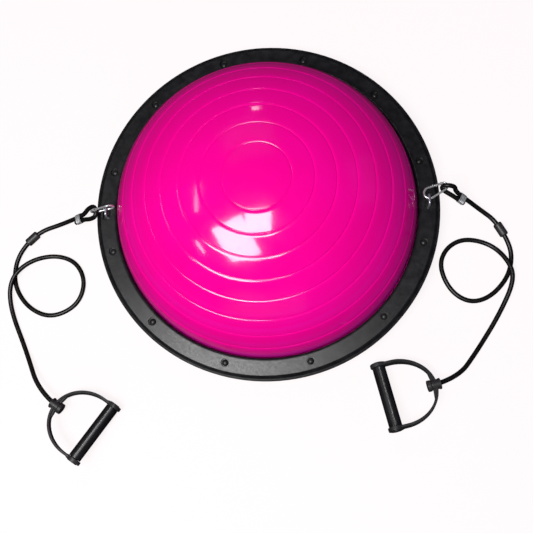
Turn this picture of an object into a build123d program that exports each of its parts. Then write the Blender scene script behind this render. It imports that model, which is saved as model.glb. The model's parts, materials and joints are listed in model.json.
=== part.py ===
from build123d import *
import math
import os

# Balance dome trainer: an inflated half dome clamped to a round platform, with two
# resistance tubes that hook onto the platform's rim. Millimetres, +Z up, the origin at
# the centre of the platform's underside. The tube anchors lie on the X axis.

# Platform and clamp ring
RIM_R = 300.0
RING_INNER_R = 262.0
RING_TOP_INNER_Z = 48.0
RING_TOP_OUTER_Z = 45.0
RING_SHOULDER_R = 291.5
RING_LIP_R = 296.2
RING_LIP_Z = 38.8
RING_INNER_EDGE_R = 3.8
RING_SKIRT_Z = 24.0
RING_WALL = 4.0
PLATE_FOOT_R = 284.0
PLATE_RIM_R = 294.5
PLATE_FLOOR = 4.0
PLATE_WALL = 4.0
SEAT_Z = 27.0
RIB_TOP_Z = 25.0
RIB_THICKNESS = 3.0
RIB_RADII = (90.0, 180.0)
FASTENER_COUNT = 12
FASTENER_PCR = 277.5
FASTENER_START = 15.0

# Dome and its closed floor
DOME_R = 261.0
DOME_RISE = 197.0
DOME_BASE_Z = 28.0
DOME_SKIN = 4.0
FLANGE_R = 288.0
FLANGE_THICKNESS = 3.0
BLADDER_FLOOR = 3.0
GROOVE_COUNT = 8
GROOVE_FIRST_ARC = 54.2
GROOVE_PITCH = 35.3
GROOVE_R = 1.1

# Screws
SCREW_SHANK_R = 2.3
SCREW_HEAD_R = 5.6
SCREW_HEAD_RISE = 3.6
SCREW_LENGTH = 32.0
RECESS_R = 7.2
RECESS_Z = 41.0
SCREW_CLEARANCE_R = 2.9

# Anti-slip pads and the air valve
PAD_COUNT = 8
PAD_R = 24.0
PAD_THICKNESS = 3.0
PAD_PCR = 235.0
VALVE_Y = -135.0
VALVE_WELL_R = 20.0
VALVE_FLANGE_R = 12.0
VALVE_NECK_R = 6.5
VALVE_BORE_R = 3.6
VALVE_NECK_TOP_Z = 42.0

# Anchor staples in their pockets
ANCHOR_R = 280.0
STAPLE_LEG_Y = 9.0
STAPLE_WIRE_R = 2.0
STAPLE_BAR_Z = 55.0
STAPLE_BEND_R = 5.0
STAPLE_FOOT_Z = 33.2
POCKET_RADIAL = 15.0
POCKET_WIDTH = 30.0
POCKET_FLOOR_Z = 40.0
POCKET_WALL = 2.5

# Snap hooks, drawn flat in a local plane: u runs from the wide end to the narrow end,
# and the gate lies on the +v side
HOOK_WIDE_R = 9.4
HOOK_NARROW_R = 6.2
HOOK_CENTRES = 26.0
HOOK_WIRE_R = 1.85
HOOK_TONGUE = 2.3
HOOK_LAP = 2.4
GATE_PIN_R = 0.8
GATE_PIN_SETBACK = 2.5
GATE_GAP = 0.35
GATE_CHEEK_R = 2.1
GATE_CHEEK = 1.0

# Resistance tubes and what is on them
TUBE_R = 4.0
CRIMP_LENGTH = 11.5
CRIMP_WALL = 1.1
STRAND_OFFSET = 4.15
SLEEVE_LENGTH = 25.0
SLEEVE_R = 7.5

# Handles, drawn in a local plane: the grip lies along x, the hub on the +y side
GRIP_AXIS_Z = 25.5
HANDLE_LEAN = 12.0
BOSS_X = 54.5
BOSS_R = 13.5
BOSS_LENGTH = 6.5
GRIP_R = 11.0
GRIP_BORE_R = 6.25
CORE_R = 6.0
BOW_HALF_WIDTH = 56.5
BOW_REACH = 65.0
BOW_SPRING_Y = 20.0
BOW_THICKNESS = 4.5
BOW_HEIGHT = 21.0
BOW_HUB_HEIGHT = 13.0
BOW_TAPER_Y = 30.0
BOW_EDGE = 0.9
HUB_R = 8.6
HUB_BORE_R = 4.6
HUB_INNER_Y = 75.5
HUB_OUTER_Y = 91.5
STOPPER_R = 9.5
STOPPER_LENGTH = 6.5

# Each side's hook plane (origin, u direction, v direction), crimp, sleeve and handle
# places, and the hand-laid route of its tube, from the tail in the crimp to the stopper.
SIDES = {
    "left": {
        "sign": -1,
        "hook_origin": (-274.2, 4.3, 58.8),
        "hook_u": (-0.968, -0.171, -0.182),
        "hook_v": (-0.179, -0.032, 0.983),
        "crimp_at": (-336.0, -6.3, 26.2),
        "crimp_along": (-0.845, -0.144, -0.516),
        "sleeve_at": (-427.5, -35.5, 7.6),
        "sleeve_along": (-0.738, -0.675, 0.0),
        "grip_at": (-299.2, -380.8),
        "hub_towards": (-0.8221, 0.5694),
        "route": [
            (-343.4, -11.9, 21.6),
            (-325.0, -8.8, 32.9),
            (-311.5, -12.2, 43.2),
            (-296.4, -9.6, 54.2),
            (-299.5, 9.4, 54.2),
            (-314.8, 7.9, 43.6),
            (-326.0, -0.5, 32.0),
            (-348.5, -4.6, 18.8),
            (-378.0, -12.5, 10.5),
            (-412.7, -22.0, 7.6),
            (-442.3, -49.0, 7.6),
            (-459.0, -80.0, 4.0),
            (-459.0, -122.0, 4.0),
            (-432.0, -162.0, 4.0),
            (-389.0, -181.0, 4.0),
            (-342.0, -160.0, 4.0),
            (-328.0, -118.0, 4.0),
            (-346.0, -80.0, 4.0),
            (-386.0, -66.0, 4.0),
            (-430.0, -78.0, 15.0),
            (-463.0, -109.0, 15.0),
            (-466.0, -160.0, 4.0),
            (-431.0, -240.0, 4.0),
            (-397.0, -313.0, 25.5),
            (-357.6, -340.4, 25.5),
        ],
    },
    "right": {
        "sign": 1,
        "hook_origin": (281.4, 12.4, 50.4),
        "hook_u": (0.917, 0.389, 0.087),
        "hook_v": (-0.391, 0.921, 0.0),
        "crimp_at": (337.4, 5.3, 32.0),
        "crimp_along": (0.752, -0.390, -0.530),
        "sleeve_at": (405.3, -45.3, 7.6),
        "sleeve_along": (0.486, -0.874, 0.0),
        "grip_at": (196.5, -328.1),
        "hub_towards": (0.9744, 0.2250),
        "route": [
            (341.5, -1.5, 27.8),
            (325.7, 6.7, 38.9),
            (301.6, 20.9, 43.0),
            (304.4, 22.1, 62.5),
            (322.6, 20.0, 60.5),
            (326.5, 15.6, 41.0),
            (351.3, 2.75, 23.5),
            (373.0, -11.0, 11.5),
            (395.6, -27.8, 7.6),
            (415.0, -62.8, 7.6),
            (422.5, -92.0, 4.0),
            (413.0, -129.0, 4.0),
            (381.0, -163.0, 4.0),
            (345.0, -172.0, 4.0),
            (313.0, -150.0, 4.0),
            (297.0, -106.0, 4.0),
            (311.0, -74.0, 4.0),
            (343.0, -58.0, 4.0),
            (388.0, -70.0, 4.0),
            (414.0, -103.0, 15.0),
            (420.5, -136.0, 15.0),
            (394.0, -192.0, 4.0),
            (353.0, -253.0, 4.0),
            (312.5, -301.3, 25.5),
            (265.7, -312.1, 25.5),
        ],
    },
}

parts = {}


def rect_profile(r_in, r_out, z_low, z_high):
    """A closed rectangle in the XZ plane, for revolving."""
    corners = [(r_in, z_low), (r_out, z_low), (r_out, z_high), (r_in, z_high)]
    return make_face(Plane.XZ * Polyline(*corners, close=True))


def rounded_corner(section, r, z, radius):
    """An XZ section with the corner nearest to (r, z) rounded."""
    corner = Vector(r, 0, z)
    nearest = min(section.vertices(), key=lambda vertex: (Vector(*vertex) - corner).length)
    return fillet(nearest, radius)


def ring(r_in, r_out, z_low, z_high):
    """A square-section ring round the Z axis."""
    return revolve(rect_profile(r_in, r_out, z_low, z_high), Axis.Z)


def rod(radius, z_low, z_high, x=0.0, y=0.0):
    """An upright cylinder."""
    height = z_high - z_low
    return Pos(x, y, z_low + height / 2) * Cylinder(radius, height)


def fastener_points():
    """The screw centres round the rim."""
    step = 360.0 / FASTENER_COUNT
    for index in range(FASTENER_COUNT):
        angle = math.radians(FASTENER_START + index * step)
        yield FASTENER_PCR * math.cos(angle), FASTENER_PCR * math.sin(angle)


def base_plate():
    """Flat-bottomed platform moulding with ribs, screw bosses and a well for the valve."""
    inner_r = PLATE_RIM_R - PLATE_WALL
    outline = [
        (0, 0),
        (PLATE_FOOT_R, 0),
        (PLATE_FOOT_R + 4, 4),
        (PLATE_RIM_R, SEAT_Z),
        (inner_r, SEAT_Z),
        (PLATE_FOOT_R - 1, PLATE_FLOOR),
        (0, PLATE_FLOOR),
    ]
    body = revolve(make_face(Plane.XZ * Polyline(*outline, close=True)), Axis.Z)
    body += ring(264, 268, PLATE_FLOOR - 0.5, SEAT_Z)
    for radius in RIB_RADII:
        body += ring(radius - RIB_THICKNESS / 2, radius + RIB_THICKNESS / 2, PLATE_FLOOR - 0.5, RIB_TOP_Z)
    rib_length = PLATE_FOOT_R - 2 - RIB_RADII[0]
    rib_height = RIB_TOP_Z - PLATE_FLOOR + 0.5
    rib_x = RIB_RADII[0] + rib_length / 2
    rib = Pos(rib_x, 0, PLATE_FLOOR - 0.5 + rib_height / 2) * Box(rib_length, RIB_THICKNESS, rib_height)
    for index in range(FASTENER_COUNT):
        body += Rot(0, 0, FASTENER_START + index * 360.0 / FASTENER_COUNT) * rib
    for x, y in fastener_points():
        body += rod(8, PLATE_FLOOR - 0.5, SEAT_Z, x, y)
    body += rod(VALVE_WELL_R + 3, PLATE_FLOOR - 0.5, 20, 0, VALVE_Y)
    body -= rod(VALVE_WELL_R, -1, 21, 0, VALVE_Y)
    for x, y in fastener_points():
        body -= rod(SCREW_SHANK_R + 0.1, PLATE_FLOOR + 2, SEAT_Z + 1, x, y)
    for x, y in pad_points():
        body -= rod(PAD_R + 0.1, -1, PAD_THICKNESS, x, y)
    return body


def pad_points():
    """The anti-slip pad centres under the platform."""
    for index in range(PAD_COUNT):
        angle = math.radians(22.5 + index * 360.0 / PAD_COUNT)
        yield PAD_PCR * math.cos(angle), PAD_PCR * math.sin(angle)


def anti_slip_pads():
    """Rubber discs let into the platform's underside, flush with it."""
    pads = [rod(PAD_R, 0, PAD_THICKNESS, x, y) for x, y in pad_points()]
    return Compound(children=pads)


def clamp_ring():
    """Ring that clamps the dome's flange: sloping top, skirt, screw recesses and pockets."""
    flange_top = SEAT_Z + BLADDER_FLOOR + FLANGE_THICKNESS
    skirt_inner_r = RIM_R - RING_WALL + 0.3
    outline = [
        (RING_INNER_R, flange_top),
        (RING_INNER_R + RING_WALL, flange_top),
        (RING_INNER_R + RING_WALL, RING_TOP_INNER_Z - RING_WALL),
        (RING_SHOULDER_R - 2.5, RING_TOP_OUTER_Z - RING_WALL),
        (RING_LIP_R - 3.0, RING_LIP_Z - 3.3),
        (skirt_inner_r, RING_LIP_Z - 4.8),
        (skirt_inner_r, RING_SKIRT_Z),
        (RIM_R - 0.8, RING_SKIRT_Z),
        (RIM_R, RING_SKIRT_Z + 2),
        (RIM_R, RING_LIP_Z - 0.3),
        (RING_LIP_R, RING_LIP_Z),
        (RING_SHOULDER_R, RING_TOP_OUTER_Z),
        (RING_INNER_R, RING_TOP_INNER_Z),
    ]
    section = make_face(Plane.XZ * Polyline(*outline, close=True))
    section = rounded_corner(section, RING_INNER_R, RING_TOP_INNER_Z, RING_INNER_EDGE_R)
    section = rounded_corner(section, RING_SHOULDER_R, RING_TOP_OUTER_Z, 2.0)
    section = rounded_corner(section, RIM_R, RING_LIP_Z - 0.3, 1.0)
    body = revolve(section, Axis.Z)
    for x, y in fastener_points():
        body += rod(RECESS_R + 2.2, flange_top, RING_TOP_OUTER_Z - 1, x, y)
    for sign in (-1, 1):
        cup_low = POCKET_FLOOR_Z - POCKET_WALL
        cup_high = RING_TOP_OUTER_Z - 1
        cup = Box(POCKET_RADIAL + 4, POCKET_WIDTH + 4, cup_high - cup_low)
        body += Pos(sign * ANCHOR_R, 0, (cup_low + cup_high) / 2) * cup
    for x, y in fastener_points():
        body -= rod(RECESS_R, RECESS_Z, 60, x, y)
        body -= rod(SCREW_CLEARANCE_R, flange_top - 1, 60, x, y)
    for sign in (-1, 1):
        slot = extrude(RectangleRounded(POCKET_RADIAL, POCKET_WIDTH, 4), 20)
        body -= Pos(sign * ANCHOR_R, 0, POCKET_FLOOR_Z) * slot
        for leg_y in (-STAPLE_LEG_Y, STAPLE_LEG_Y):
            body -= rod(STAPLE_WIRE_R + 0.15, POCKET_FLOOR_Z - 5, 50, sign * ANCHOR_R, leg_y)
    return body


def ellipse_point(radius, rise, angle):
    """Point on a dome section, the angle counted from its top in radians."""
    return radius * math.sin(angle), DOME_BASE_Z + rise * math.cos(angle)


def angle_at_arc(arc):
    """Angle on the outer section at a distance along the skin from the top."""
    steps = 900
    travelled = 0.0
    here = ellipse_point(DOME_R, DOME_RISE, 0)
    for step in range(1, steps + 1):
        angle = math.pi / 2 * step / steps
        there = ellipse_point(DOME_R, DOME_RISE, angle)
        travelled += math.dist(here, there)
        here = there
        if travelled >= arc:
            break
    return angle


def top_arc(radius, rise, angle):
    """The dome's cap: an arc centred on the Z axis, from the top to an angle."""
    edge_x, edge_z = ellipse_point(radius, rise, angle)
    top_z = DOME_BASE_Z + rise
    sag = top_z - edge_z
    sphere_r = (edge_x ** 2 + sag ** 2) / (2 * sag)
    half = math.asin(edge_x / sphere_r) / 2
    middle = (sphere_r * math.sin(half), top_z - sphere_r + sphere_r * math.cos(half))
    return ThreePointArc((0, top_z), middle, (edge_x, edge_z))


def side_curve(radius, rise, start, end):
    """Smooth curve along a dome section between two angles."""
    angles = [start + (end - start) * step / 4 for step in range(5)]
    marks = [ellipse_point(radius, rise, angle) for angle in angles]
    ends = [(radius * math.cos(angle), -rise * math.sin(angle)) for angle in (start, end)]
    return Spline(*marks, tangents=ends)


def grooved_section(edge_angle):
    """Outer section from the top down to the flange, with a round notch at each groove."""
    curves = []
    last = 0.0
    for index in range(GROOVE_COUNT):
        middle = angle_at_arc(GROOVE_FIRST_ARC + index * GROOVE_PITCH)
        half = GROOVE_R / math.dist((0, 0), ellipse_point(DOME_R, DOME_RISE, middle))
        if index == 0:
            curves.append(top_arc(DOME_R, DOME_RISE, middle - half))
        else:
            curves.append(side_curve(DOME_R, DOME_RISE, last, middle - half))
        lip_in = ellipse_point(DOME_R, DOME_RISE, middle - half)
        lip_out = ellipse_point(DOME_R, DOME_RISE, middle + half)
        bottom = ellipse_point(DOME_R - GROOVE_R, DOME_RISE - GROOVE_R, middle)
        curves.append(ThreePointArc(lip_in, bottom, lip_out))
        last = middle + half
    curves.append(side_curve(DOME_R, DOME_RISE, last, edge_angle))
    return curves


def dome():
    """Inflated skin with moulded grooves, and the flange that the ring clamps."""
    flange_low = SEAT_Z + BLADDER_FLOOR
    flange_high = flange_low + FLANGE_THICKNESS
    inner_r = DOME_R - DOME_SKIN
    inner_rise = DOME_RISE - DOME_SKIN
    edge_angle = math.acos((flange_high - DOME_BASE_Z) / DOME_RISE)
    inner_edge = math.acos((flange_low - DOME_BASE_Z) / inner_rise)
    cap_angle = angle_at_arc(GROOVE_FIRST_ARC)
    curves = grooved_section(edge_angle)
    curves.append(Polyline(
        ellipse_point(DOME_R, DOME_RISE, edge_angle),
        (FLANGE_R, flange_high),
        (FLANGE_R, flange_low),
        ellipse_point(inner_r, inner_rise, inner_edge),
    ))
    inner_middle = (cap_angle + inner_edge) / 2
    curves.append(side_curve(inner_r, inner_rise, inner_middle, inner_edge))
    curves.append(side_curve(inner_r, inner_rise, cap_angle, inner_middle))
    curves.append(top_arc(inner_r, inner_rise, cap_angle))
    curves.append(Line((0, DOME_BASE_Z + inner_rise), (0, DOME_BASE_Z + DOME_RISE)))
    outline = Wire([edge for curve in curves for edge in curve.edges()])
    body = revolve(Plane.XZ * make_face(outline), Axis.Z)
    for x, y in fastener_points():
        body -= rod(SCREW_CLEARANCE_R, flange_low - 1, flange_high + 1, x, y)
    return body


def bladder_floor():
    """Flat membrane that closes the dome below, clamped with the flange."""
    body = rod(FLANGE_R, SEAT_Z, SEAT_Z + BLADDER_FLOOR)
    for x, y in fastener_points():
        body -= rod(SCREW_CLEARANCE_R, SEAT_Z - 1, SEAT_Z + BLADDER_FLOOR + 1, x, y)
    body -= rod(VALVE_NECK_R, SEAT_Z - 1, SEAT_Z + BLADDER_FLOOR + 1, 0, VALVE_Y)
    return body


def valve_seat():
    """Soft valve body: a flange under the membrane and a neck that stands in the dome."""
    body = rod(VALVE_FLANGE_R, SEAT_Z - 2, SEAT_Z, 0, VALVE_Y)
    body += rod(VALVE_NECK_R, SEAT_Z - 2, VALVE_NECK_TOP_Z, 0, VALVE_Y)
    body -= rod(VALVE_BORE_R, SEAT_Z - 3, VALVE_NECK_TOP_Z + 1, 0, VALVE_Y)
    return body


def valve_plug():
    """Push-in plug: a head with a finger rim and a tapered stem."""
    head_high = SEAT_Z - 2.2
    body = rod(9, head_high - 3, head_high, 0, VALVE_Y)
    body -= ring(3.5, 6.5, head_high - 4, head_high - 1.8).moved(Pos(0, VALVE_Y, 0))
    stem_length = 14.0
    stem = Cone(VALVE_BORE_R - 0.15, VALVE_BORE_R - 0.5, stem_length)
    body += Pos(0, VALVE_Y, head_high + stem_length / 2) * stem
    return body


def clamp_screws():
    """Screws with plain domed heads, one in each recess of the ring."""
    cap_r = (SCREW_HEAD_R ** 2 + SCREW_HEAD_RISE ** 2) / (2 * SCREW_HEAD_RISE)
    cap = Pos(0, 0, RECESS_Z + SCREW_HEAD_RISE - cap_r) * Sphere(cap_r)
    head = cap & rod(SCREW_HEAD_R + 1, RECESS_Z, RECESS_Z + SCREW_HEAD_RISE + 1)
    shank = rod(SCREW_SHANK_R, RECESS_Z - SCREW_LENGTH, RECESS_Z)
    point = Pos(0, 0, RECESS_Z - SCREW_LENGTH - 1) * Cone(0.8, SCREW_SHANK_R, 2)
    screw = head + shank + point
    return Compound(children=[Pos(x, y, 0) * screw for x, y in fastener_points()])


def anchor_staple(sign):
    """Bent steel staple that the snap hook clips onto."""
    x = sign * ANCHOR_R
    corners = [
        (x, -STAPLE_LEG_Y, STAPLE_FOOT_Z),
        (x, -STAPLE_LEG_Y, STAPLE_BAR_Z),
        (x, STAPLE_LEG_Y, STAPLE_BAR_Z),
        (x, STAPLE_LEG_Y, STAPLE_FOOT_Z),
    ]
    return swept_wire(FilletPolyline(*corners, radius=STAPLE_BEND_R), STAPLE_WIRE_R)


def anchor_plate(sign):
    """Steel backing plate under the pocket floor."""
    high = POCKET_FLOOR_Z - POCKET_WALL
    body = Pos(sign * ANCHOR_R, 0, high - 1) * Box(13, POCKET_WIDTH, 2)
    for leg_y in (-STAPLE_LEG_Y, STAPLE_LEG_Y):
        body -= rod(STAPLE_WIRE_R + 0.15, high - 3, high + 1, sign * ANCHOR_R, leg_y)
    return body


def anchor_nuts(sign):
    """Thin hexagon nuts on the staple's two legs."""
    high = POCKET_FLOOR_Z - POCKET_WALL - 2
    nuts = []
    for leg_y in (-STAPLE_LEG_Y, STAPLE_LEG_Y):
        nut = Pos(sign * ANCHOR_R, leg_y, high - 2.2) * extrude(RegularPolygon(4.0, 6), 2.2)
        nut -= rod(STAPLE_WIRE_R, high - 3, high + 1, sign * ANCHOR_R, leg_y)
        nuts.append(nut)
    return Compound(children=nuts)


def swept_wire(path, radius):
    """A round wire or tube swept along a path."""
    start = Plane(origin=path @ 0, z_dir=path % 0)
    return sweep(start * Circle(radius), path=path)


def hook_plane(side):
    """The snap hook's own plane: u across X, v across Y."""
    u = Vector(*side["hook_u"])
    v = Vector(*side["hook_v"])
    return Plane(origin=side["hook_origin"], x_dir=u, z_dir=u.cross(v))


def hook_geometry():
    """Tangent points and pin place of the hook's outline."""
    lean = math.asin((HOOK_WIDE_R - HOOK_NARROW_R) / HOOK_CENTRES)
    nose = (HOOK_WIDE_R * math.sin(lean), HOOK_WIDE_R * math.cos(lean))
    heel = (HOOK_CENTRES + HOOK_NARROW_R * math.sin(lean), HOOK_NARROW_R * math.cos(lean))
    along = (math.cos(lean), -math.sin(lean))
    pin = (heel[0] - GATE_PIN_SETBACK * along[0], heel[1] - GATE_PIN_SETBACK * along[1])
    return nose, heel, along, pin


def gate_frame():
    """Plane on the pin's axis whose X axis runs along the closed gate to the nose."""
    _, _, along, pin = hook_geometry()
    return Plane(origin=(pin[0], pin[1], 0), x_dir=(-along[0], -along[1], 0), z_dir=(0, 0, -1))


def gate_reach():
    """Distance from the pin to the hook's nose."""
    nose, _, _, pin = hook_geometry()
    return math.hypot(nose[0] - pin[0], nose[1] - pin[1])


def hook_body():
    """Bent wire body with a half-lapped nose and a flat tongue that carries the gate pin."""
    nose, heel, along, pin = hook_geometry()
    tongue_end = (pin[0] - 1.6 * along[0], pin[1] - 1.6 * along[1])
    lap_start = (nose[0] + HOOK_LAP * along[0], nose[1] + HOOK_LAP * along[1])
    outline = Polyline(lap_start, nose)
    outline += ThreePointArc(nose, (-HOOK_WIDE_R, 0), (nose[0], -nose[1]))
    outline += Line((nose[0], -nose[1]), (heel[0], -heel[1]))
    outline += ThreePointArc((heel[0], -heel[1]), (HOOK_CENTRES + HOOK_NARROW_R, 0), heel)
    outline += Line(heel, tongue_end)
    wire = Wire(outline.edges())
    body = swept_wire(wire, HOOK_WIRE_R)
    reach = gate_reach()
    inner_half = Pos(reach - HOOK_LAP / 2, -5, 0) * Box(HOOK_LAP + 0.4, 10, 10)
    body -= gate_frame().location * inner_half
    for side in (-1, 1):
        flat = Pos(0, 0, side * (HOOK_TONGUE / 2 + 2)) * Box(8.4, 9, 4)
        body -= gate_frame().location * flat
    body -= gate_frame().location * Cylinder(GATE_PIN_R, 12)
    return body


def hook_gate():
    """Sprung gate: a forked rod with a lap that closes under the nose."""
    reach = gate_reach()
    blade = Pos((reach - GATE_GAP + 3.2) / 2, 0, 0) * Rot(0, 90, 0) * Cylinder(HOOK_WIRE_R, reach - GATE_GAP - 3.2)
    outer_half = Pos(reach - HOOK_LAP / 2, 5.0, 0) * Box(HOOK_LAP + 1.2, 10.7, 10)
    blade -= outer_half
    blade -= Pos(5.5 + 13.0 / 2, 0, 0) * Rot(0, 90, 0) * Cylinder(1.25, 13.0)
    body = blade
    half_gap = HOOK_TONGUE / 2 + 0.12
    for side in (-1, 1):
        cheek_z = side * (half_gap + GATE_CHEEK / 2)
        body += Pos(0, 0, cheek_z) * Cylinder(GATE_CHEEK_R, GATE_CHEEK)
        body += Pos(2.3, 0, cheek_z) * Box(4.6, 2 * HOOK_WIRE_R - 0.4, GATE_CHEEK)
    body -= Cylinder(GATE_PIN_R + 0.05, 12)
    return gate_frame().location * body


def hook_pin():
    """Pin through the tongue and the gate's cheeks."""
    length = HOOK_TONGUE + 2 * (GATE_CHEEK + 0.12)
    return gate_frame().location * Cylinder(GATE_PIN_R, length)


def hook_spring():
    """Closing spring that lies in the gate's bore."""
    coil = Helix(pitch=1.3, height=12.0, radius=0.9)
    start = Plane(origin=coil @ 0, z_dir=coil % 0)
    spring = sweep(start * Circle(0.2), path=coil, is_frenet=True)
    return gate_frame().location * (Pos(6.0, 0, 0) * Rot(0, 90, 0) * spring)


def route_radii(points):
    """Bend radius at each inner point: 0.45 of its shorter run over tan(half the turn)."""
    radii = []
    for before, here, after in zip(points, points[1:], points[2:]):
        run_in = Vector(*here) - Vector(*before)
        run_out = Vector(*after) - Vector(*here)
        turn = math.radians(run_in.get_angle(run_out))
        shorter = min(run_in.length, run_out.length)
        radii.append(0.45 * shorter / math.tan(turn / 2))
    return radii


def resistance_tube(name, side):
    """One continuous tube: tail, loop through the hook, floor loop, handle."""
    points = side["route"]
    radii = route_radii(points)
    path = FilletPolyline(*points, radius=radii)
    body = swept_wire(path, TUBE_R)
    length = path.length
    share = body.volume / (math.pi * TUBE_R ** 2 * length)
    print(f"{name} tube: length {length:.0f} mm, volume over section x length {share:.3f}")
    print("  radii", " ".join(f"{radius:.0f}" for radius in radii))
    print("  runs ", " ".join(f"{(Vector(*b) - Vector(*a)).length:.0f}" for a, b in zip(points, points[1:])))
    return body


def along_plane(origin, along):
    """A plane whose normal is the given direction and whose x axis is level."""
    direction = Vector(*along).normalized()
    level = Vector(0, 0, 1).cross(direction)
    return Plane(origin=origin, x_dir=level, z_dir=direction)


def crimp(side):
    """Flattened metal ferrule that holds the loop's two strands side by side."""
    outer = SlotOverall(2 * (STRAND_OFFSET + TUBE_R + CRIMP_WALL), 2 * (TUBE_R + CRIMP_WALL))
    inner = SlotOverall(2 * (STRAND_OFFSET + TUBE_R), 2 * TUBE_R)
    body = extrude(outer - inner, CRIMP_LENGTH / 2, both=True)
    body = fillet(body.edges().filter_by(Axis.Z, reverse=True).group_by(SortBy.LENGTH)[-1], 0.4)
    return along_plane(side["crimp_at"], side["crimp_along"]).location * body


def tube_sleeve(side):
    """Moulded sleeve on the tube, near the hook."""
    body = Cylinder(SLEEVE_R, SLEEVE_LENGTH)
    body = fillet(body.edges().filter_by(GeomType.CIRCLE), 2.8)
    body -= Cylinder(TUBE_R, SLEEVE_LENGTH + 2)
    return along_plane(side["sleeve_at"], side["sleeve_along"]).location * body


def handle_place(side):
    """The handle's own place: the grip along x, the hub towards +y. It leans on its far boss."""
    y_dir = Vector(*side["hub_towards"], 0).normalized()
    x_dir = y_dir.cross(Vector(0, 0, 1))
    level = Plane(origin=(*side["grip_at"], GRIP_AXIS_Z), x_dir=x_dir, z_dir=(0, 0, 1))
    return level.location * Rot(0, -side["sign"] * HANDLE_LEAN, 0)


def bow_outline(inset):
    """Half-oval outline of the bow, drawn in from its outer face by the inset."""
    half_width = BOW_HALF_WIDTH - inset
    reach = BOW_REACH - inset
    arc = EllipticalCenterArc((0, BOW_SPRING_Y), half_width, reach, start_angle=0, arc_size=180)
    sides = Polyline((-half_width, BOW_SPRING_Y), (-half_width, 0), (half_width, 0), (half_width, BOW_SPRING_Y))
    return make_face(arc + sides)


def bow_strap():
    """The D-shaped strap on edge, lower towards the hub than at the grip, with bevelled rims."""
    strap = extrude(bow_outline(0) - bow_outline(BOW_THICKNESS), BOW_HEIGHT / 2, both=True)
    corners = [
        (BOW_TAPER_Y, BOW_HEIGHT / 2),
        (BOW_SPRING_Y + BOW_REACH - 5, BOW_HUB_HEIGHT / 2),
        (BOW_SPRING_Y + BOW_REACH + 5, BOW_HUB_HEIGHT / 2),
        (BOW_SPRING_Y + BOW_REACH + 5, BOW_HEIGHT),
        (BOW_TAPER_Y, BOW_HEIGHT),
    ]
    wedge = extrude(make_face(Plane.YZ * Polyline(*corners, close=True)), 100, both=True)
    strap = strap - wedge - wedge.mirror(Plane.XY)
    rims = [edge for edge in strap.edges() if edge.length > 10 and abs(edge.center().Z) > 5]
    return chamfer(rims, BOW_EDGE)


def handle_bow():
    """The strap with its end bosses, webs and the tube's hub."""
    body = bow_strap()
    for sign in (-1, 1):
        boss = Cylinder(BOSS_R, BOSS_LENGTH)
        boss = fillet(boss.edges().filter_by(GeomType.CIRCLE), BOW_EDGE)
        body += Pos(sign * BOSS_X, 0, 0) * Rot(0, 90, 0) * boss
    web = Polyline((0, 84), (28, 76.5), (23, 74.5), (8, 76.5), (0, 76.5), close=True)
    for sign in (-1, 1):
        half = extrude(make_face(web), 4.0, both=True)
        body += half if sign > 0 else half.mirror(Plane.YZ)
    hub_length = HUB_OUTER_Y - HUB_INNER_Y
    hub_y = (HUB_OUTER_Y + HUB_INNER_Y) / 2
    hub = Cylinder(HUB_R, hub_length)
    hub = fillet(hub.edges().filter_by(GeomType.CIRCLE), 0.8)
    body += Pos(0, hub_y, 0) * Rot(90, 0, 0) * hub
    body += Pos(0, HUB_OUTER_Y - 2.0, 0) * Rot(90, 0, 0) * Cylinder(HUB_R + 0.8, 2.5)
    body -= Pos(0, hub_y, 0) * Rot(90, 0, 0) * Cylinder(HUB_BORE_R, hub_length + 40)
    body -= Rot(0, 90, 0) * Cylinder(CORE_R, 200)
    return body


def handle_core():
    """Axle tube fixed in the two bosses; the grip turns on it."""
    length = 2 * BOSS_X + BOSS_LENGTH - 4
    return Rot(0, 90, 0) * (Cylinder(CORE_R, length) - Cylinder(CORE_R - 2, length + 2))


def handle_grip():
    """Grip tube between the bosses."""
    length = 2 * BOSS_X - BOSS_LENGTH - 1.0
    body = Cylinder(GRIP_R, length)
    body = fillet(body.edges().filter_by(GeomType.CIRCLE), 0.8)
    body -= Cylinder(GRIP_BORE_R, length + 2)
    return Rot(0, 90, 0) * body


def handle_caps():
    """Two plugs that close the bosses' outer ends."""
    caps = []
    outer_x = BOSS_X + BOSS_LENGTH / 2
    for sign in (-1, 1):
        disc = Pos(sign * (outer_x - 1.0), 0, 0) * Rot(0, 90, 0) * Cylinder(CORE_R, 2)
        head = Pos(sign * (outer_x + 0.6), 0, 0) * Rot(0, 90, 0) * Cylinder(CORE_R + 3, 1.2)
        caps.append(disc + head)
    return Compound(children=caps)


def tube_stopper():
    """Flanged plug on the tube's end, which bears on the hub's inner face."""
    gap = 0.35
    face_y = HUB_INNER_Y - gap
    body = Pos(0, face_y - STOPPER_LENGTH / 2, 0) * Rot(90, 0, 0) * Cylinder(STOPPER_R, STOPPER_LENGTH)
    body = fillet(body.edges().filter_by(GeomType.CIRCLE), 1.2)
    body -= Pos(0, face_y - 0.5, 0) * Rot(90, 0, 0) * Cylinder(TUBE_R, 9.0)
    return body


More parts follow.
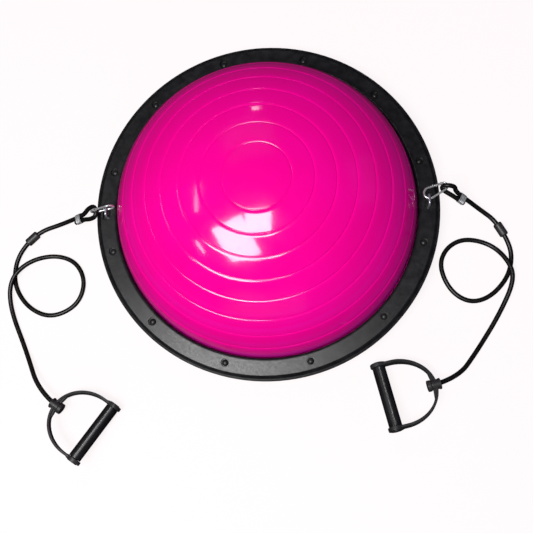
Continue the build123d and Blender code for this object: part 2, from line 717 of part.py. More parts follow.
def build_side(name, side):
    """All the pieces of one side: anchor, hook, tube and handle."""
    sign = side["sign"]
    hook = hook_plane(side).location
    handle = handle_place(side)
    parts[f"anchor_staple_{name}"] = anchor_staple(sign)
    parts[f"anchor_plate_{name}"] = anchor_plate(sign)
    parts[f"anchor_nuts_{name}"] = anchor_nuts(sign)
    parts[f"hook_body_{name}"] = hook * hook_body()
    parts[f"hook_gate_{name}"] = hook * hook_gate()
    parts[f"hook_pin_{name}"] = hook * hook_pin()
    parts[f"hook_spring_{name}"] = hook * hook_spring()
    parts[f"resistance_tube_{name}"] = resistance_tube(name, side)
    parts[f"tube_crimp_{name}"] = crimp(side)
    parts[f"tube_sleeve_{name}"] = tube_sleeve(side)
    parts[f"tube_stopper_{name}"] = handle * tube_stopper()
    parts[f"handle_bow_{name}"] = handle * handle_bow()
    parts[f"handle_core_{name}"] = handle * handle_core()
    parts[f"handle_grip_{name}"] = handle * handle_grip()
    parts[f"handle_caps_{name}"] = handle * handle_caps()


parts["base_plate"] = base_plate()
parts["anti_slip_pads"] = anti_slip_pads()
parts["bladder_floor"] = bladder_floor()
parts["dome"] = dome()
parts["valve_seat"] = valve_seat()
parts["valve_plug"] = valve_plug()
parts["clamp_ring"] = clamp_ring()
parts["clamp_screws"] = clamp_screws()
for side_name, side_data in SIDES.items():
    build_side(side_name, side_data)

os.makedirs("parts", exist_ok=True)
for node, shape in parts.items():
    export_step(shape, f"parts/{node}.step")
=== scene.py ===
import json
import math

import bpy
from mathutils import Matrix, Quaternion, Vector


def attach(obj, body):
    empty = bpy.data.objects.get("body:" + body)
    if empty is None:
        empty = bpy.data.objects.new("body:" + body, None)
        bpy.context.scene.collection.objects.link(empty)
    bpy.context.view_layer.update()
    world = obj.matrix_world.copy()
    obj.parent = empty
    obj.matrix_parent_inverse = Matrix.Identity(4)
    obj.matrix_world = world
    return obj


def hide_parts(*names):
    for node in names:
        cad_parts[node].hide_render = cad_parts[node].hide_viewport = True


# Looks of the balance dome trainer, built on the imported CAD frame, +Z up. Dimensions of the object
# are in mm, as in the CAD. The camera, the stage and the materials are in metres.

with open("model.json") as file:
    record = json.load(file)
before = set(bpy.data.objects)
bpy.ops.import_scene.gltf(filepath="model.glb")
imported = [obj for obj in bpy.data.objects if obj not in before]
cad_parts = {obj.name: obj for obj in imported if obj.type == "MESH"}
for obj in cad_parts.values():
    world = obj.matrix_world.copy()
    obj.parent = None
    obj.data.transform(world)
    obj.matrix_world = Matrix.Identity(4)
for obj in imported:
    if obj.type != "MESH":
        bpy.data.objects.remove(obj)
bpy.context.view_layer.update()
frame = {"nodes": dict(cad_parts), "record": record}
nodes = frame["nodes"]
scene = bpy.context.scene
MM = 0.001
SIDES = ("left", "right")

# Camera: its right and up directions, its place in m, its sensor and lens in mm
CAMERA_RIGHT = (0.9968, -0.0140, -0.0782)
CAMERA_UP = (0.0283, 0.9823, 0.1850)
CAMERA_PLACE = (0.0955, -0.3454, 1.3009)
CAMERA_SENSOR = 36.0
CAMERA_LENS = 50.66

# Dome section, the same as the CAD dome's, with its moulded grooves
DOME_R = 261.0
DOME_RISE = 197.0
DOME_BASE_Z = 28.0
DOME_SKIN = 4.0
FLANGE_R = 288.0
FLANGE_LOW_Z = 30.0
FLANGE_HIGH_Z = 33.0
GROOVE_COUNT = 8
GROOVE_FIRST_ARC = 54.2
GROOVE_PITCH = 35.3
GROOVE_DEPTH = 0.8
GROOVE_HALF_WIDTH = 1.7

# How finely the dome is made: points are close together in and just before a groove
DOME_SEGMENTS = 288
DOME_TRIAL_STEPS = 3600
DOME_CLOSE_SPACING = 0.35
DOME_WIDE_SPACING = 4.0
DOME_LOOK_AHEAD = 0.4
DOME_INNER_STEPS = 40

# Radius of the pinhole left on the axis of a turned piece
AXIS_R = 0.02

# Resistance tubes
TUBE_DIAMETER = 8.0
TUBE_EXIT = {"left": (-336.0, -6.3, 26.2), "right": (337.4, 5.3, 32.0)}
TUBE_STEPS_ALONG = 10
TUBE_STEPS_ROUND = 6

# Pressed metal crimps that hold each tube's loop: two strands side by side
CRIMP_ALONG = {"left": (-0.845, -0.144, -0.516), "right": (0.752, -0.390, -0.530)}
CRIMP_LENGTH = 11.5
CRIMP_STRAND_OFFSET = 4.15
CRIMP_OUTER_R = 5.1
CRIMP_INNER_R = 4.0
CRIMP_EDGE = 0.4
CRIMP_GROOVES = (-2.8, 0.0, 2.8)
CRIMP_GROOVE_DEPTH = 0.7
CRIMP_GROOVE_HALF_WIDTH = 1.1
CRIMP_STEPS_ALONG = 44
CRIMP_STEPS_ROUND = 20

# The points that pull each tube's curve into shape, from the end in the crimp to the end in the handle
TUBE_ROUTE = {
    "left": [
        (-343.4, -11.9, 21.6),
        (-325.0, -8.8, 32.9),
        (-311.5, -12.2, 43.2),
        (-296.4, -9.6, 54.2),
        (-299.5, 9.4, 54.2),
        (-314.8, 7.9, 43.6),
        (-326.0, -0.5, 32.0),
        (-348.5, -4.6, 18.8),
        (-378.0, -12.5, 10.5),
        (-412.7, -22.0, 7.6),
        (-442.3, -49.0, 7.6),
        (-459.0, -80.0, 4.0),
        (-459.0, -122.0, 4.0),
        (-432.0, -162.0, 4.0),
        (-389.0, -181.0, 4.0),
        (-342.0, -160.0, 4.0),
        (-328.0, -118.0, 4.0),
        (-346.0, -80.0, 4.0),
        (-386.0, -66.0, 4.0),
        (-430.0, -78.0, 15.0),
        (-463.0, -109.0, 15.0),
        (-466.0, -160.0, 4.0),
        (-431.0, -240.0, 4.0),
        (-397.0, -313.0, 25.5),
        (-357.6, -340.4, 25.5),
    ],
    "right": [
        (341.5, -1.5, 27.8),
        (325.7, 6.7, 38.9),
        (301.6, 20.9, 43.0),
        (304.4, 22.1, 62.5),
        (322.6, 20.0, 60.5),
        (326.5, 15.6, 41.0),
        (351.3, 2.75, 23.5),
        (373.0, -11.0, 11.5),
        (395.6, -27.8, 7.6),
        (415.0, -62.8, 7.6),
        (422.5, -92.0, 4.0),
        (413.0, -129.0, 4.0),
        (381.0, -163.0, 4.0),
        (345.0, -172.0, 4.0),
        (313.0, -150.0, 4.0),
        (297.0, -106.0, 4.0),
        (311.0, -74.0, 4.0),
        (343.0, -58.0, 4.0),
        (388.0, -70.0, 4.0),
        (414.0, -103.0, 15.0),
        (420.5, -136.0, 15.0),
        (394.0, -192.0, 4.0),
        (353.0, -253.0, 4.0),
        (312.5, -301.3, 25.5),
        (265.7, -312.1, 25.5),
    ],
}

# Anti-slip pads, with concentric treads of a flat top and sloping sides
PAD_COUNT = 8
PAD_R = 24.0
PAD_HEIGHT = 3.0
PAD_EDGE = 0.5
PAD_PCR = 235.0
PAD_FIRST_ANGLE = 22.5
PAD_SEGMENTS = 64
TREAD_COUNT = 6
TREAD_DEPTH = 0.9
TREAD_SLOPE = 0.5
TREAD_FLOOR = 0.8
TREAD_FIRST_INSET = 1.6
TREAD_CENTRE_R = 2.0

# Where the dome's painted reflection streaks begin and where they are strongest, as distances from the
# axis in m
REFLECTION_STREAK_START_R = 0.190
REFLECTION_STREAK_FULL_R = 0.262
REFLECTION_STREAK_SCALE = 95.0

# The clamp ring's shiny flat face, between its dull edges, as distances from the axis in m
RING_FACE_INNER_R = 0.2665
RING_FACE_OUTER_R = 0.2945
RING_FACE_BLUR = 0.0012
RING_DULL_LEVEL = 0.10
RING_SHINY_LEVEL = 0.50

# Stage
FLOOR_REACH = 12.0
FLOOR_DROP = 0.0006
FLOOR_COLOUR = (0.12, 0.118, 0.118, 1.0)
FLOOR_ROUGHNESS = 0.9
FLOOR_GLOW = (1.0, 0.950, 0.958, 1.0)
FLOOR_GLOW_STRENGTH = 0.90
ROOM_COLOUR = (0.80, 0.86, 1.0, 1.0)
ROOM_STRENGTH = 0.022
DOME_MIDDLE = (0.0, 0.0, 0.1)
DOME_SHOULDER = (0.0, 0.0, 0.15)

# Softboxes: size is width and height in m, power in W, roll in degrees
SOFTBOXES = {
    "key": {
        "place": (-0.72, -0.88, 2.15), "target": (-0.72, -0.88, 0.0),
        "size": (0.90, 1.05), "power": 40.5, "roll": 22.0},
    "key_side": {
        "place": (-0.14, -0.40, 2.15), "target": (-0.14, -0.40, 0.0),
        "size": (0.56, 0.52), "power": 13.0},
    "front_fill": {
        "place": (-0.1, -2.9, 1.1), "target": DOME_MIDDLE,
        "size": (2.4, 1.2), "power": 21.0, "reflected": False},
    "back_fill": {
        "place": (-0.4, 1.7, 2.0), "target": DOME_MIDDLE,
        "size": (1.2, 1.2), "power": 10.5, "reflected": False},
    "cool_side": {
        "place": (2.2, 0.7, 1.0), "target": DOME_MIDDLE,
        "size": (1.2, 1.0), "power": 10.0, "reflected": False, "tint": (0.72, 0.55, 1.0)},
    "back_strip": {
        "place": (-0.30, 3.2, 1.75), "target": (0.0, 0.1, 0.2),
        "size": (0.22, 0.16), "power": 0.8},
    "side_strip": {
        "place": (-1.52, 0.24, 1.86), "target": DOME_SHOULDER,
        "size": (0.10, 0.62), "power": 0.9, "roll": 90.0},
    "corner_strip": {
        "place": (-1.53, -0.87, 1.67), "target": DOME_SHOULDER,
        "size": (0.06, 0.34), "power": 0.7, "roll": 90.0},
    "grip_strip_left": {
        "place": (-0.44, 0.29, 2.1), "target": (-0.30, -0.38, 0.03),
        "size": (0.24, 0.44), "power": 11.0, "only": ("handle_grip_left",)},
    "grip_strip_right": {
        "place": (0.17, 0.60, 2.1), "target": (0.20, -0.33, 0.03),
        "size": (0.22, 0.46), "power": 9.0, "only": ("handle_grip_right",)},
}


# ---------------------------------------------------------------- camera

def make_camera():
    """The photograph's view: high above the front edge, looking down on the dome."""
    right = Vector(CAMERA_RIGHT).normalized()
    up = Vector(CAMERA_UP).normalized()
    back = right.cross(up).normalized()
    up = back.cross(right)
    data = bpy.data.cameras.new("camera")
    data.sensor_width = CAMERA_SENSOR
    data.lens = CAMERA_LENS
    camera = bpy.data.objects.new("camera", data)
    scene.collection.objects.link(camera)
    rotation = Matrix((right, up, back)).transposed().to_4x4()
    camera.matrix_world = Matrix.Translation(CAMERA_PLACE) @ rotation
    scene.camera = camera


# ---------------------------------------------------------------- material helpers

def new_material(name):
    """An empty node material, its tree and its Principled shader."""
    material = bpy.data.materials.new(name)
    material.use_nodes = True
    return material, material.node_tree, material.node_tree.nodes["Principled BSDF"]


def noise(tree, scale, detail=4.0, roughness=0.55, stretch=None):
    """Noise over the object's own coordinates, stretched along some axis if asked."""
    place = tree.nodes.new("ShaderNodeTexCoord")
    texture = tree.nodes.new("ShaderNodeTexNoise")
    texture.inputs["Scale"].default_value = scale
    texture.inputs["Detail"].default_value = detail
    texture.inputs["Roughness"].default_value = roughness
    source = place.outputs["Object"]
    if stretch:
        mapping = tree.nodes.new("ShaderNodeMapping")
        mapping.inputs["Scale"].default_value = stretch
        tree.links.new(source, mapping.inputs["Vector"])
        source = mapping.outputs["Vector"]
    tree.links.new(source, texture.inputs["Vector"])
    return texture.outputs["Fac"]


def ramp(tree, source, low, high, low_at=0.35, high_at=0.65):
    """A soft ramp between two colours, driven by a texture."""
    node = tree.nodes.new("ShaderNodeValToRGB")
    node.color_ramp.elements[0].position = low_at
    node.color_ramp.elements[1].position = high_at
    node.color_ramp.elements[0].color = (*low, 1.0)
    node.color_ramp.elements[1].color = (*high, 1.0)
    tree.links.new(source, node.inputs["Fac"])
    return node.outputs["Color"]


def spread(tree, source, low, high, low_at=0.3, high_at=0.7):
    """A value mapped to a range, and held at the range's ends."""
    node = tree.nodes.new("ShaderNodeMapRange")
    node.inputs["From Min"].default_value = low_at
    node.inputs["From Max"].default_value = high_at
    node.inputs["To Min"].default_value = low
    node.inputs["To Max"].default_value = high
    tree.links.new(source, node.inputs["Value"])
    return node.outputs["Result"]


def bump(tree, source, strength, distance, under=None):
    """A bump from a height, over another bump if one is given."""
    node = tree.nodes.new("ShaderNodeBump")
    node.inputs["Strength"].default_value = strength
    node.inputs["Distance"].default_value = distance
    tree.links.new(source, node.inputs["Height"])
    if under:
        tree.links.new(under, node.inputs["Normal"])
    return node.outputs["Normal"]


def product(tree, first, second):
    """Two values multiplied."""
    both = tree.nodes.new("ShaderNodeMath")
    both.operation = "MULTIPLY"
    tree.links.new(first, both.inputs[0])
    tree.links.new(second, both.inputs[1])
    return both.outputs["Value"]


def axis_distance(tree):
    """Distance from the vertical axis of the trainer, in metres."""
    place = tree.nodes.new("ShaderNodeTexCoord")
    flat = tree.nodes.new("ShaderNodeVectorMath")
    flat.operation = "MULTIPLY"
    flat.inputs[1].default_value = (1.0, 1.0, 0.0)
    tree.links.new(place.outputs["Object"], flat.inputs[0])
    radius = tree.nodes.new("ShaderNodeVectorMath")
    radius.operation = "LENGTH"
    tree.links.new(flat.outputs["Vector"], radius.inputs[0])
    return radius.outputs["Value"]


def painted_reflection_streaks(tree):
    """Painted reflection: fine pale streaks that run round the vertical axis, strongest at the dome's
    edge.
    """
    radius = axis_distance(tree)
    texture = tree.nodes.new("ShaderNodeTexNoise")
    texture.noise_dimensions = "1D"
    texture.inputs["Scale"].default_value = REFLECTION_STREAK_SCALE
    texture.inputs["Detail"].default_value = 3.0
    tree.links.new(radius, texture.inputs["W"])
    reflection_streaks = spread(tree, texture.outputs["Fac"], 0.0, 1.0, low_at=0.45, high_at=0.75)
    # The painted reflection is strongest at the dome's steep edge
    edge = spread(tree, radius, 0.0, 1.0, low_at=REFLECTION_STREAK_START_R, high_at=REFLECTION_STREAK_FULL_R)
    return product(tree, reflection_streaks, edge)


def moulded_plastic(name, dark, light, rough, grain=1400.0, grain_depth=0.00012, rub=45.0):
    """Injection-moulded plastic: fine grain, faint clouding and rubbed patches of a given scale."""
    material, tree, shader = new_material(name)
    clouds = noise(tree, scale=rub / 3, detail=6.0)
    tree.links.new(ramp(tree, clouds, dark, light), shader.inputs["Base Color"])
    rubbed = noise(tree, scale=rub, detail=8.0, roughness=0.7)
    tree.links.new(spread(tree, rubbed, *rough), shader.inputs["Roughness"])
    grains = bump(tree, noise(tree, scale=grain, detail=2.0), strength=0.55, distance=grain_depth)
    waves = noise(tree, scale=60.0, detail=2.0)
    uneven = bump(tree, waves, strength=0.10, distance=0.0006, under=grains)
    tree.links.new(uneven, shader.inputs["Normal"])
    return material


def glossy_pvc(name, dark, light, reflection_streak_colour=None):
    """Inflated glossy PVC skin: clear shine, faint pebbling, colour clouding and, where a streak colour
    is given, painted reflection streaks.
    """
    material, tree, shader = new_material(name)
    colour = ramp(tree, noise(tree, scale=7.0, detail=3.0), dark, light)
    # Painted reflection: pale streaks mixed into the base colour towards the dome's edge
    if reflection_streak_colour:
        mix = tree.nodes.new("ShaderNodeMix")
        mix.data_type = "RGBA"
        tree.links.new(painted_reflection_streaks(tree), mix.inputs["Factor"])
        tree.links.new(colour, mix.inputs["A"])
        mix.inputs["B"].default_value = (*reflection_streak_colour, 1.0)
        colour = mix.outputs["Result"]
    tree.links.new(colour, shader.inputs["Base Color"])
    smears = noise(tree, scale=22.0, detail=6.0, roughness=0.65)
    tree.links.new(spread(tree, smears, 0.09, 0.16), shader.inputs["Roughness"])
    pebbles = bump(tree, noise(tree, scale=420.0, detail=2.0), strength=0.05, distance=0.00025)
    sag = bump(tree, noise(tree, scale=16.0, detail=1.0), strength=0.05, distance=0.002, under=pebbles)
    tree.links.new(sag, shader.inputs["Normal"])
    shader.inputs["Coat Weight"].default_value = 0.5
    shader.inputs["Coat Roughness"].default_value = 0.04
    return material


def soft_rubber(name, dark, light, rough, shine=0.5):
    """Rubber or latex with a dull bloom and fine pitting."""
    material, tree, shader = new_material(name)
    shader.inputs["Specular IOR Level"].default_value = shine
    bloom = noise(tree, scale=60.0, detail=6.0, roughness=0.65)
    tree.links.new(ramp(tree, bloom, dark, light, low_at=0.3, high_at=0.75), shader.inputs["Base Color"])
    tree.links.new(spread(tree, bloom, *rough), shader.inputs["Roughness"])
    pits = bump(tree, noise(tree, scale=700.0, detail=3.0), strength=0.3, distance=0.00012)
    tree.links.new(pits, shader.inputs["Normal"])
    return material


def plated_metal(name, dark, light, rough, stretch, metallic):
    """Plated or pressed metal with drawn scratches and dull spots."""
    material, tree, shader = new_material(name)
    shader.inputs["Metallic"].default_value = metallic
    stains = noise(tree, scale=160.0, detail=6.0)
    tree.links.new(ramp(tree, stains, dark, light), shader.inputs["Base Color"])
    tree.links.new(spread(tree, stains, *rough), shader.inputs["Roughness"])
    scratches = noise(tree, scale=900.0, detail=3.0, stretch=stretch)
    tree.links.new(bump(tree, scratches, strength=0.25, distance=0.00006), shader.inputs["Normal"])
    return material


# ---------------------------------------------------------------- materials

# How each slot of the record is made. Rough is the lowest and the highest roughness.
LOOKS = {
    # The dome's streak colour is a painted reflection in its steep edge
    "dome_pvc": (glossy_pvc, {
        "dark": (0.92, 0.0, 0.278), "light": (0.97, 0.0, 0.318), "reflection_streak_colour": (0.86, 0.010, 0.44)}),
    "bladder_pvc": (glossy_pvc, {
        "dark": (0.62, 0.0, 0.17), "light": (0.72, 0.0, 0.21)}),
    "platform_plastic": (moulded_plastic, {
        "dark": (0.014, 0.014, 0.015), "light": (0.026, 0.026, 0.028), "rough": (0.42, 0.60)}),
    "ring_plastic": (moulded_plastic, {
        "dark": (0.006, 0.006, 0.007), "light": (0.016, 0.016, 0.017), "rough": (0.27, 0.45),
        "grain": 900.0, "rub": 240.0}),
    "screw_steel": (moulded_plastic, {
        "dark": (0.010, 0.010, 0.011), "light": (0.022, 0.022, 0.024), "rough": (0.34, 0.44),
        "grain": 1800.0, "grain_depth": 0.00004}),
    "pad_rubber": (soft_rubber, {
        "dark": (0.030, 0.030, 0.030), "light": (0.060, 0.058, 0.056), "rough": (0.60, 0.85)}),
    "valve_vinyl": (glossy_pvc, {
        "dark": (0.74, 0.74, 0.71), "light": (0.84, 0.84, 0.80)}),
    "zinc_steel": (plated_metal, {
        "dark": (0.46, 0.49, 0.55), "light": (0.62, 0.66, 0.74), "rough": (0.20, 0.38),
        "stretch": (1.0, 1.0, 0.12), "metallic": 0.80}),
    "hook_steel": (plated_metal, {
        "dark": (0.70, 0.70, 0.71), "light": (0.88, 0.88, 0.89), "rough": (0.14, 0.28),
        "stretch": (0.15, 1.0, 1.0), "metallic": 0.72}),
    "tube_latex": (soft_rubber, {
        "dark": (0.003, 0.003, 0.003), "light": (0.010, 0.009, 0.008), "rough": (0.26, 0.38),
        "shine": 0.30}),
    "crimp_metal": (plated_metal, {
        "dark": (0.40, 0.41, 0.42), "light": (0.56, 0.57, 0.58), "rough": (0.32, 0.50),
        "stretch": (1.0, 0.15, 1.0), "metallic": 0.60}),
    "sleeve_rubber": (soft_rubber, {
        "dark": (0.016, 0.016, 0.017), "light": (0.040, 0.039, 0.040), "rough": (0.34, 0.48)}),
    "handle_plastic": (moulded_plastic, {
        "dark": (0.014, 0.014, 0.015), "light": (0.030, 0.029, 0.030), "rough": (0.32, 0.46),
        "grain": 1500.0, "grain_depth": 0.00006, "rub": 90.0}),
    "core_plastic": (moulded_plastic, {
        "dark": (0.10, 0.10, 0.105), "light": (0.14, 0.14, 0.145), "rough": (0.45, 0.60)}),
    "grip_plastic": (moulded_plastic, {
        "dark": (0.004, 0.004, 0.005), "light": (0.009, 0.009, 0.010), "rough": (0.28, 0.34),
        "grain": 1700.0, "grain_depth": 0.000012, "rub": 90.0}),
}


def dull_ring_edges(material):
    """Leaves the shine on the clamp ring's flat face and dulls its inner edge and its outer lip."""
    tree = material.node_tree
    shader = tree.nodes["Principled BSDF"]
    radius = axis_distance(tree)
    past_inner = spread(tree, radius, 0.0, 1.0,
                        RING_FACE_INNER_R - RING_FACE_BLUR, RING_FACE_INNER_R + RING_FACE_BLUR)
    before_outer = spread(tree, radius, 1.0, 0.0,
                          RING_FACE_OUTER_R - RING_FACE_BLUR, RING_FACE_OUTER_R + RING_FACE_BLUR)
    face = product(tree, past_inner, before_outer)
    level = spread(tree, face, RING_DULL_LEVEL, RING_SHINY_LEVEL, low_at=0.0, high_at=1.0)
    tree.links.new(level, shader.inputs["Specular IOR Level"])


def make_materials():
    """One finished material for each slot of the record."""
    made = {slot: maker(slot, **look) for slot, (maker, look) in LOOKS.items()}
    dull_ring_edges(made["ring_plastic"])
    return made


def paint_frame(materials):
    """Gives every carried-over CAD node the finished material of its slot."""
    for row in frame["record"]["subparts"]:
        mesh = nodes[row["node"]].data
        material = materials[row["material_slot"]]
        if not mesh.materials:
            mesh.materials.append(material)
        for index in range(len(mesh.materials)):
            mesh.materials[index] = material


# ---------------------------------------------------------------- mesh helpers

def add_mesh(name, points, faces, slot, body):
    """A smooth-shaded mesh piece that rides on a body."""
    mesh = bpy.data.meshes.new(name)
    mesh.from_pydata(points, [], faces)
    mesh.update()
    mesh.polygons.foreach_set("use_smooth", [True] * len(mesh.polygons))
    piece = bpy.data.objects.new(name, mesh)
    scene.collection.objects.link(piece)
    mesh.materials.append(materials[slot])
    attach(piece, body)
    return piece


def tie_loops(loop_count, loop_size):
    """Faces between neighbouring closed loops of points, the last loop tied to the first."""
    faces = []
    for row in range(loop_count):
        after = (row + 1) % loop_count
        for index in range(loop_size):
            beside = (index + 1) % loop_size
            faces.append((row * loop_size + index, row * loop_size + beside,
                          after * loop_size + beside, after * loop_size + index))
    return faces


def lathe(profile, segments, centre=(0.0, 0.0)):
    """Points and faces of a closed (radius, height) profile in mm, turned round a vertical axis."""
    points = []
    for radius, height in profile:
        for index in range(segments):
            angle = 2 * math.pi * index / segments
            x = centre[0] + radius * math.cos(angle)
            y = centre[1] + radius * math.sin(angle)
            points.append((x * MM, y * MM, height * MM))
    return points, tie_loops(len(profile), segments)


def groove_depth(away, depth):
    """Depth of a round-bottomed groove, where away is 0 in its middle and 1 or more outside it."""
    if away >= 1.0:
        return 0.0
    return depth * (0.5 + 0.5 * math.cos(math.pi * away))


# ---------------------------------------------------------------- resistance tubes

def crimp_loop(radius):
    """A stadium outline round the two strands, as (across, up) in mm."""
    loop = []
    for end, start in ((1, -0.5 * math.pi), (-1, 0.5 * math.pi)):
        for step in range(CRIMP_STEPS_ROUND + 1):
            angle = start + math.pi * step / CRIMP_STEPS_ROUND
            loop.append((end * CRIMP_STRAND_OFFSET + radius * math.cos(angle), radius * math.sin(angle)))
    return loop


def crimp_stations():
    """Distance along the crimp and radius of its outline: over the outside, then back inside."""
    half = CRIMP_LENGTH / 2
    edge_r = CRIMP_OUTER_R - CRIMP_EDGE
    stations = [(-half, edge_r), (-half + CRIMP_EDGE, CRIMP_OUTER_R)]
    for step in range(1, CRIMP_STEPS_ALONG):
        along = -half + CRIMP_EDGE + (CRIMP_LENGTH - 2 * CRIMP_EDGE) * step / CRIMP_STEPS_ALONG
        radius = CRIMP_OUTER_R
        for groove in CRIMP_GROOVES:
            radius -= groove_depth(abs(along - groove) / CRIMP_GROOVE_HALF_WIDTH, CRIMP_GROOVE_DEPTH)
        stations.append((along, radius))
    stations += [(half - CRIMP_EDGE, CRIMP_OUTER_R), (half, edge_r)]
    stations += [(half, CRIMP_INNER_R), (-half, CRIMP_INNER_R)]
    return stations


def make_crimp(side):
    """The crimp with its pressed grooves, where the CAD has it."""
    along = Vector(CRIMP_ALONG[side]).normalized()
    across = Vector((0.0, 0.0, 1.0)).cross(along).normalized()
    up = along.cross(across)
    middle = Vector(TUBE_EXIT[side])
    stations = crimp_stations()
    points = []
    for place, radius in stations:
        for sideways, high in crimp_loop(radius):
            points.append((middle + along * place + across * sideways + up * high) * MM)
    faces = tie_loops(len(stations), len(crimp_loop(CRIMP_OUTER_R)))
    piece = add_mesh(f"crimp_band_{side}", points, faces, "crimp_metal", f"tube_{side}")
    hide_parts(f"tube_crimp_{side}")
    return piece


def make_tube(side):
    """The real tube as one smooth curve through its route, with its crimp."""
    curve = bpy.data.curves.new(f"tube_line_{side}", "CURVE")
    curve.dimensions = "3D"
    spline = curve.splines.new("NURBS")
    route = TUBE_ROUTE[side]
    spline.points.add(len(route) - 1)
    for point, place in zip(spline.points, route):
        point.co = (place[0] * MM, place[1] * MM, place[2] * MM, 1.0)
    spline.order_u = 3
    spline.use_endpoint_u = True
    spline.resolution_u = TUBE_STEPS_ALONG
    curve.bevel_depth = TUBE_DIAMETER / 2 * MM
    curve.bevel_resolution = TUBE_STEPS_ROUND
    curve.use_fill_caps = True
    curve.materials.append(materials["tube_latex"])
    piece = bpy.data.objects.new(f"latex_tube_{side}", curve)
    scene.collection.objects.link(piece)
    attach(piece, f"tube_{side}")
    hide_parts(f"resistance_tube_{side}")
    make_crimp(side)


# ---------------------------------------------------------------- dome

def dome_place(angle, inset=0.0):
    """Radius and height on the dome's section, the angle counted from its top."""
    radius = (DOME_R - inset) * math.sin(angle)
    return radius, DOME_BASE_Z + (DOME_RISE - inset) * math.cos(angle)


def dome_dip(arc):
    """Depth of the moulded grooves at a distance along the skin from the top."""
    dip = 0.0
    for index in range(GROOVE_COUNT):
        away = abs(arc - GROOVE_FIRST_ARC - index * GROOVE_PITCH) / GROOVE_HALF_WIDTH
        dip = max(dip, groove_depth(away, GROOVE_DEPTH))
    return dip


def dome_outside():
    """The grooved outer skin, from beside the axis down to the clamped flange."""
    outside = [(AXIS_R, DOME_BASE_Z + DOME_RISE)]
    edge = math.acos((FLANGE_HIGH_Z - DOME_BASE_Z) / DOME_RISE)
    travelled = 0.0
    last_kept = -2 * DOME_WIDE_SPACING
    here = dome_place(0.0)
    for step in range(1, DOME_TRIAL_STEPS + 1):
        angle = edge * step / DOME_TRIAL_STEPS
        there = dome_place(angle)
        travelled += math.dist(here, there)
        here = there
        dip = dome_dip(travelled)
        near_groove = dip > 0 or dome_dip(travelled + DOME_LOOK_AHEAD) > 0
        spacing = DOME_CLOSE_SPACING if near_groove else DOME_WIDE_SPACING
        if travelled - last_kept >= spacing or step == DOME_TRIAL_STEPS:
            outside.append(dome_place(angle, dip))
            last_kept = travelled
    return outside


def dome_profile():
    """The closed section: grooved outer skin, clamped flange and inner skin."""
    flange = [(FLANGE_R, FLANGE_HIGH_Z), (FLANGE_R, FLANGE_LOW_Z)]
    edge = math.acos((FLANGE_LOW_Z - DOME_BASE_Z) / (DOME_RISE - DOME_SKIN))
    steps = DOME_INNER_STEPS
    inside = [dome_place(edge * (steps - step) / steps, DOME_SKIN) for step in range(steps)]
    inside.append((AXIS_R, DOME_BASE_Z + DOME_RISE - DOME_SKIN))
    return dome_outside() + flange + inside


def make_dome():
    """The inflated skin, turned finely enough for its grooves to catch the light."""
    points, faces = lathe(dome_profile(), DOME_SEGMENTS)
    piece = add_mesh("dome_skin", points, faces, "dome_pvc", "base")
    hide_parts("dome")


# ---------------------------------------------------------------- anti-slip pads

def pad_profile():
    """Section of a pad: concentric rings on the face that meets the floor."""
    profile = [(AXIS_R, PAD_HEIGHT), (PAD_R, PAD_HEIGHT), (PAD_R, PAD_EDGE), (PAD_R - PAD_EDGE, 0.0)]
    for index in range(TREAD_COUNT):
        radius = PAD_R - TREAD_FIRST_INSET - index * (PAD_R - TREAD_CENTRE_R) / TREAD_COUNT
        floor_r = radius - TREAD_SLOPE
        profile += [(radius, 0.0), (floor_r, TREAD_DEPTH)]
        profile += [(floor_r - TREAD_FLOOR, TREAD_DEPTH), (floor_r - TREAD_FLOOR - TREAD_SLOPE, 0.0)]
    profile.append((AXIS_R, 0.0))
    return profile[::-1]


def make_pads():
    """The rubber discs under the platform, with concentric treads."""
    points, faces = [], []
    for index in range(PAD_COUNT):
        angle = math.radians(PAD_FIRST_ANGLE + index * 360.0 / PAD_COUNT)
        centre = (PAD_PCR * math.cos(angle), PAD_PCR * math.sin(angle))
        more_points, more_faces = lathe(pad_profile(), PAD_SEGMENTS, centre)
        start = len(points)
        points += more_points
        faces += [tuple(start + corner for corner in face) for face in more_faces]
    piece = add_mesh("pad_treads", points, faces, "pad_rubber", "base")
    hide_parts("anti_slip_pads")


# ---------------------------------------------------------------- stage

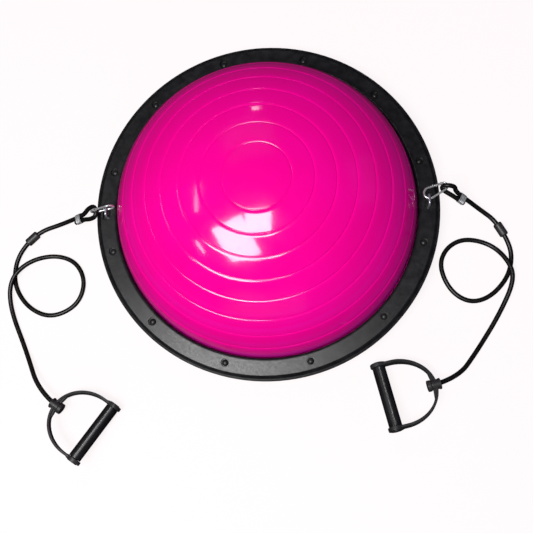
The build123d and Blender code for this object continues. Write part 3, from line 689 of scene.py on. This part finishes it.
def make_floor():
    """A plain pale floor that glows a little, as a lit studio sheet does."""
    mesh = bpy.data.meshes.new("floor")
    corners = [(-1, -1), (1, -1), (1, 1), (-1, 1)]
    points = [(x * FLOOR_REACH, y * FLOOR_REACH, -FLOOR_DROP) for x, y in corners]
    mesh.from_pydata(points, [], [(0, 1, 2, 3)])
    floor = bpy.data.objects.new("floor", mesh)
    scene.collection.objects.link(floor)
    material, _, shader = new_material("floor_paper")
    shader.inputs["Base Color"].default_value = FLOOR_COLOUR
    shader.inputs["Roughness"].default_value = FLOOR_ROUGHNESS
    shader.inputs["Specular IOR Level"].default_value = 0.0
    shader.inputs["Emission Color"].default_value = FLOOR_GLOW
    shader.inputs["Emission Strength"].default_value = FLOOR_GLOW_STRENGTH
    mesh.materials.append(material)
    floor.visible_glossy = False
    floor.visible_diffuse = False


def add_softbox(name, place, target, size, power, roll=0.0, reflected=True, tint=(1, 1, 1), only=()):
    """A lamp that faces a point; it may be left out of reflections, or light only some nodes."""
    data = bpy.data.lights.new(name, "AREA")
    data.shape = "RECTANGLE"
    data.size, data.size_y = size
    data.energy = power
    data.color = tint
    lamp = bpy.data.objects.new(name, data)
    scene.collection.objects.link(lamp)
    lamp.location = place
    aim = Vector(target) - Vector(place)
    lamp.rotation_mode = "QUATERNION"
    turn = Quaternion((0.0, 0.0, 1.0), math.radians(roll))
    lamp.rotation_quaternion = aim.to_track_quat("-Z", "Y") @ turn
    lamp.visible_glossy = reflected
    if only:
        lit = bpy.data.collections.new(f"{name}_lit")
        for node in only:
            lit.objects.link(nodes[node])
        lamp.light_linking.receiver_collection = lit


def make_lights():
    """Soft studio light: a key softbox, low fill, small strips for the highlights, and a dim room."""
    for name, settings in SOFTBOXES.items():
        add_softbox(name, **settings)
    world = bpy.data.worlds.new("room")
    world.use_nodes = True
    background = world.node_tree.nodes["Background"]
    background.inputs["Color"].default_value = ROOM_COLOUR
    background.inputs["Strength"].default_value = ROOM_STRENGTH
    scene.world = world
    scene.view_settings.view_transform = "Standard"


# ---------------------------------------------------------------- making

make_camera()
materials = make_materials()
paint_frame(materials)
for tube_side in SIDES:
    make_tube(tube_side)
make_dome()
make_pads()
make_floor()
make_lights()
